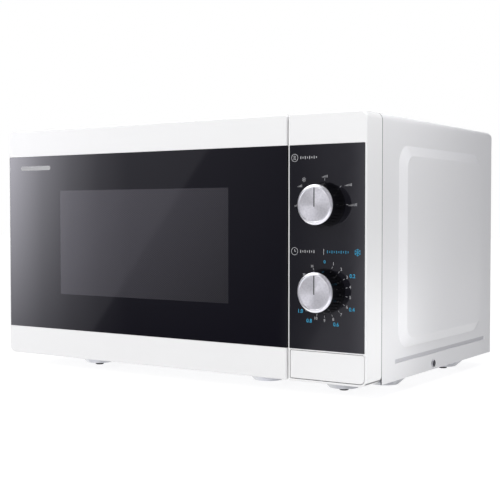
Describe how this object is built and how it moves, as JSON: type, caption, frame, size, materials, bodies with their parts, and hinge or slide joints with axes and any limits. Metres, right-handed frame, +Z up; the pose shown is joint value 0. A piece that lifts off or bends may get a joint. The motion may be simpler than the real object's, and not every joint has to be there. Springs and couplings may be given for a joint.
{
  "type": "microwave oven",
  "caption": "Free-standing microwave oven with a side-hung door, glass turntable, two rotary dials and a push button that releases the door.",
  "frame": {"origin": "middle of the footprint on the plane of the feet", "axes": "+Z up, front faces -Y, +X towards the control panel"},
  "size_m": [0.4496, 0.3286, 0.257],
  "materials": {
    "white_plastic": "satin moulded",
    "white_steel": "powder coat",
    "enamel": "enamelled",
    "zinc_steel": "zinc plated",
    "lamination": "varnished laminations",
    "copper": "enamelled wire",
    "aluminium": "mill finish",
    "chrome": "spun",
    "black_glass": "printed glass",
    "clear_glass": "clear",
    "lamp_glass": "clear bulb",
    "clear_film": "clear film",
    "mica": "mica sheet",
    "black_gloss": "gloss",
    "black_plastic": "matte",
    "grey_plastic": "matte",
    "natural_plastic": "acetal",
    "red_plastic": "matte",
    "board_green": "circuit board",
    "spring_steel": "wire",
    "rubber": "moulded"
  },
  "bodies": {
    "case": {"base_plate": "zinc_steel", "button_spring": "spring_steel", "cabinet_screws": "zinc_steel", "capacitor": "aluminium", "cavity_lamp": "lamp_glass", "control_panel_housing": "white_plastic", "control_panel_overlay": "black_gloss", "cord_gland": "black_plastic", "fan_motor": "lamination", "fan_shroud": "grey_plastic", "filter_board": "board_green", "foot_front_left": "rubber", "foot_front_right": "rubber", "foot_rear_left": "rubber", "foot_rear_right": "rubber", "front_plate": "enamel", "high_voltage_diode": "black_plastic", "hinge_lower": "zinc_steel", "hinge_upper": "zinc_steel", "interlock_bracket": "natural_plastic", "interlock_switches": "red_plastic", "lamp_holder": "natural_plastic", "magnetron": "aluminium", "magnetron_antenna": "chrome", "outer_cabinet": "white_steel", "oven_cavity": "enamel", "power_selector": "natural_plastic", "rear_panel": "zinc_steel", "thermal_cutout": "black_plastic", "timer_unit": "natural_plastic", "transformer_core": "lamination", "transformer_windings": "copper", "turntable_motor": "zinc_steel", "waveguide": "zinc_steel", "waveguide_cover": "mica"},
    "door": {"door_frame": "white_plastic", "door_glass": "black_glass", "door_inner_panel": "zinc_steel", "door_inner_film": "clear_film", "door_choke_cover": "black_plastic", "latch_spring": "spring_steel"},
    "door_latch": {"door_latch": "natural_plastic"},
    "release_button": {"release_button": "white_plastic"},
    "release_lever": {"release_lever": "natural_plastic"},
    "power_dial": {"power_knob": "black_gloss", "power_knob_cap": "chrome", "power_shaft": "zinc_steel"},
    "timer_dial": {"timer_knob": "black_gloss", "timer_knob_cap": "chrome", "timer_shaft": "zinc_steel"},
    "turntable_coupler": {"turntable_coupler": "natural_plastic"},
    "glass_tray": {"glass_tray": "clear_glass"},
    "roller_ring": {"roller_ring": "natural_plastic"},
    "roller_1": {"roller_1": "natural_plastic"},
    "roller_2": {"roller_2": "natural_plastic"},
    "roller_3": {"roller_3": "natural_plastic"},
    "fan": {"fan_blade": "natural_plastic"},
    "switch_plunger_1": {"switch_plunger_1": "black_plastic"},
    "switch_plunger_2": {"switch_plunger_2": "black_plastic"},
    "switch_plunger_3": {"switch_plunger_3": "black_plastic"}
  },
  "joints": [
    {"name": "door_swing", "type": "hinge", "parent": "case", "child": "door", "pos_m": [-0.212, -0.13075, 0.136], "axis": [0, 0, -1], "range_deg": [0, 100]},
    {"name": "latch_lift", "type": "slide", "parent": "door", "child": "door_latch", "axis": [0, 0, 1], "range_m": [0, 0.0028], "stiffness_N_per_m": 150, "springref_m": -0.002, "deforming": ["latch_spring"]},
    {"name": "button_press", "type": "slide", "parent": "case", "child": "release_button", "axis": [0, 1, 0], "range_m": [0, 0.008], "stiffness_N_per_m": 250, "springref_m": -0.003, "deforming": ["button_spring"]},
    {"name": "lever_rock", "type": "hinge", "parent": "case", "child": "release_lever", "pos_m": [0.131, -0.11075, 0.06], "axis": [1, 0, 0], "range_deg": [0, 14.6]},
    {"name": "power_turn", "type": "hinge", "parent": "case", "child": "power_dial", "pos_m": [0.1783, -0.14475, 0.1748], "axis": [0, 1, 0], "range_deg": [-90, 90]},
    {"name": "timer_turn", "type": "hinge", "parent": "case", "child": "timer_dial", "pos_m": [0.1783, -0.14475, 0.0978], "axis": [0, 1, 0], "range_deg": [0, 330]},
    {"name": "turntable_spin", "type": "hinge", "parent": "case", "child": "turntable_coupler", "pos_m": [-0.038, 0.01625, 0.04], "axis": [0, 0, 1], "continuous": true},
    {"name": "tray_lift", "type": "slide", "parent": "turntable_coupler", "child": "glass_tray", "axis": [0, 0, 1], "range_m": [0, 0.03]},
    {"name": "ring_spin", "type": "hinge", "parent": "case", "child": "roller_ring", "pos_m": [-0.038, 0.01625, 0.045], "axis": [0, 0, 1], "continuous": true},
    {"name": "roller_1_spin", "type": "hinge", "parent": "roller_ring", "child": "roller_1", "pos_m": [0.054, 0.01625, 0.045], "axis": [1, 0, 0], "continuous": true},
    {"name": "roller_2_spin", "type": "hinge", "parent": "roller_ring", "child": "roller_2", "pos_m": [-0.084, 0.09592, 0.045], "axis": [-0.5, 0.866, 0], "continuous": true},
    {"name": "roller_3_spin", "type": "hinge", "parent": "roller_ring", "child": "roller_3", "pos_m": [-0.084, -0.06342, 0.045], "axis": [-0.5, -0.866, 0], "continuous": true},
    {"name": "fan_spin", "type": "hinge", "parent": "case", "child": "fan", "pos_m": [0.17, 0.13425, 0.158], "axis": [0, 1, 0], "continuous": true},
    {"name": "plunger_1_press", "type": "slide", "parent": "case", "child": "switch_plunger_1", "axis": [0, 1, 0], "range_m": [0, 0.0012], "stiffness_N_per_m": 100},
    {"name": "plunger_2_press", "type": "slide", "parent": "case", "child": "switch_plunger_2", "axis": [0, 1, 0], "range_m": [0, 0.0012], "stiffness_N_per_m": 100},
    {"name": "plunger_3_press", "type": "slide", "parent": "case", "child": "switch_plunger_3", "axis": [0, 1, 0], "range_m": [0, 0.0012], "stiffness_N_per_m": 100}
  ],
  "couplings": [
    {"joint": "latch_lift", "follows": "button_press", "ratio": 0.35},
    {"joint": "lever_rock", "follows": "button_press", "rad_per_m": 31.5},
    {"joint": "ring_spin", "follows": "turntable_spin", "ratio": 0.5},
    {"joint": "roller_1_spin", "follows": "turntable_spin", "ratio": -6.5714},
    {"joint": "roller_2_spin", "follows": "turntable_spin", "ratio": -6.5714},
    {"joint": "roller_3_spin", "follows": "turntable_spin", "ratio": -6.5714}
  ]
}
